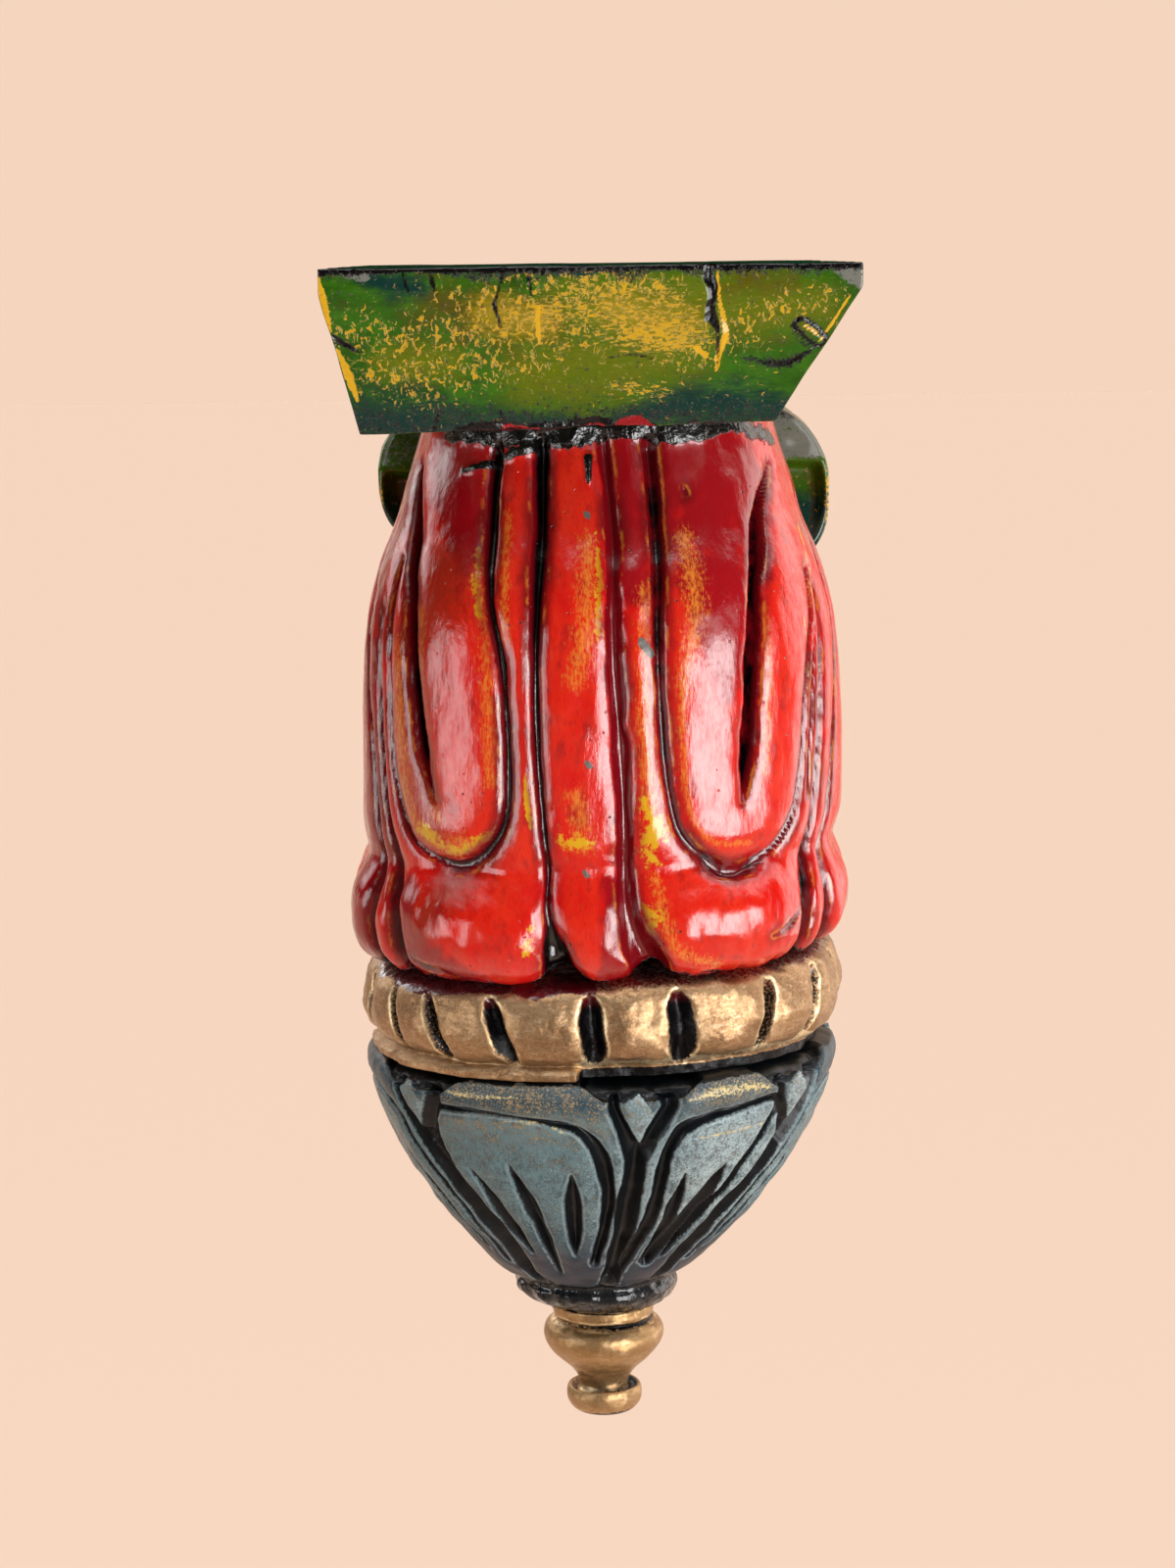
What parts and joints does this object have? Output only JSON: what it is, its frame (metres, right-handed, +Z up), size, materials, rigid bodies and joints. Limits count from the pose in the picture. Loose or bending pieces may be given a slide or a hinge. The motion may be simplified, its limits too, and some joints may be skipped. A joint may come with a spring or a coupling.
{
  "type": "carved wall bracket",
  "caption": "Carved and painted wooden wall bracket: a bevelled shelf on a scrolled arm, with a hanging flower bud, a ring of knobs, a lotus cup and a turned finial below its front end.",
  "frame": {"origin": "centre of the flat back that stands against the wall, 47 mm below the shelf's top", "axes": "+X to the right seen from the front, +Y into the wall, +Z up"},
  "size_m": [0.1284, 0.192, 0.305],
  "materials": {
    "green_paint": "hand-painted green with yellow rubbed through, glossy varnish",
    "red_paint": "hand-painted red, dark in the grooves, high-gloss varnish",
    "gold_paint": "antique gold metallic paint, black in the cuts, satin",
    "blue_paint": "dusty blue paint, black in the grooves and rubbed to ochre on the edges, satin"
  },
  "bodies": {
    "root": {"shelf": "green_paint", "carved_body": "red_paint", "bead_ring": "gold_paint", "lotus_cup": "blue_paint", "finial": "gold_paint"}
  },
  "joints": []
}
